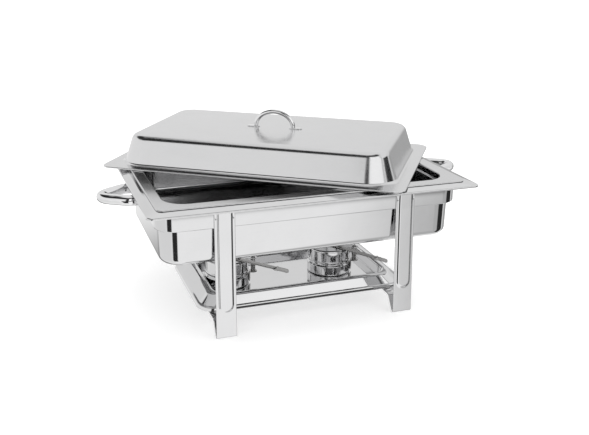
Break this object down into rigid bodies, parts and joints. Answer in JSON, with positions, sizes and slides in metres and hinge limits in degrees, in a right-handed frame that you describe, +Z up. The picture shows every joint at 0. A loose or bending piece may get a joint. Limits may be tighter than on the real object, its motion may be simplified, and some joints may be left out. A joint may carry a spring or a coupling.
{
  "type": "chafing dish buffet food warmer",
  "caption": "Stainless chafing dish: lidded full-size food pan over a hot-water pan in a four-legged stand, warmed by two fuel holders with swinging snuffer caps.",
  "frame": {"origin": "on the table, below the middle of the box round the whole object, which is also the middle of the lid", "axes": "+X along the stand's long side to the right, +Y from the front to the back, +Z up"},
  "size_m": [0.6722, 0.576, 0.3171],
  "materials": {
    "polished_steel": "mirror-polished stainless sheet",
    "brushed_steel": "finely brushed stainless sheet, semi-bright",
    "satin_steel": "satin stainless sheet",
    "chromed_tube": "bright chrome",
    "dull_steel": "dull steel, lightly heat-stained"
  },
  "bodies": {
    "stand": {"collar_band": "polished_steel", "leg_front_left": "polished_steel", "leg_front_right": "polished_steel", "leg_back_left": "polished_steel", "leg_back_right": "polished_steel", "cross_strap_left": "polished_steel", "cross_strap_right": "polished_steel", "fuel_tray": "polished_steel", "end_handle_left": "chromed_tube", "end_handle_right": "chromed_tube", "handle_rivet_left_front": "chromed_tube", "handle_rivet_left_back": "chromed_tube", "handle_rivet_right_front": "chromed_tube", "handle_rivet_right_back": "chromed_tube"},
    "water_pan": {"water_pan": "polished_steel"},
    "food_pan": {"food_pan": "satin_steel"},
    "lid": {"lid_shell": "brushed_steel", "lid_handle": "chromed_tube", "lid_foot_plate_left": "chromed_tube", "lid_foot_plate_right": "chromed_tube", "lid_screw_left": "chromed_tube", "lid_screw_right": "chromed_tube"},
    "fuel_holder_left": {"fuel_cup_left": "polished_steel", "cup_bracket_left": "dull_steel", "pivot_sleeve_left": "dull_steel", "pivot_pin_left": "dull_steel"},
    "snuffer_left": {"snuffer_cap_left": "polished_steel", "lever_left": "dull_steel", "lever_rivet_near_left": "dull_steel", "lever_rivet_far_left": "dull_steel"},
    "fuel_holder_right": {"fuel_cup_right": "polished_steel", "cup_bracket_right": "dull_steel", "pivot_sleeve_right": "dull_steel", "pivot_pin_right": "dull_steel"},
    "snuffer_right": {"snuffer_cap_right": "polished_steel", "lever_right": "dull_steel", "lever_rivet_near_right": "dull_steel", "lever_rivet_far_right": "dull_steel"}
  },
  "joints": [
    {"name": "water_pan_lift", "type": "slide", "parent": "stand", "child": "water_pan", "axis": [0, 0, 1], "range_m": [0, 0.11]},
    {"name": "food_pan_lift", "type": "slide", "parent": "water_pan", "child": "food_pan", "axis": [0, 0, 1], "range_m": [0, 0.075]},
    {"name": "lid_lift", "type": "slide", "parent": "food_pan", "child": "lid", "axis": [0, 0, 1], "range_m": [0, 0.1]},
    {"name": "fuel_holder_left_lift", "type": "slide", "parent": "stand", "child": "fuel_holder_left", "axis": [0, 0, 1], "range_m": [0, 0.035]},
    {"name": "snuffer_left_swing", "type": "hinge", "parent": "fuel_holder_left", "child": "snuffer_left", "pos_m": [-0.07112, -0.11844, 0.0536], "axis": [0, 0, 1], "range_deg": [0, 95]},
    {"name": "fuel_holder_right_lift", "type": "slide", "parent": "stand", "child": "fuel_holder_right", "axis": [0, 0, 1], "range_m": [0, 0.035]},
    {"name": "snuffer_right_swing", "type": "hinge", "parent": "fuel_holder_right", "child": "snuffer_right", "pos_m": [0.1217, -0.1251, 0.0536], "axis": [0, 0, 1], "range_deg": [0, 95]}
  ]
}
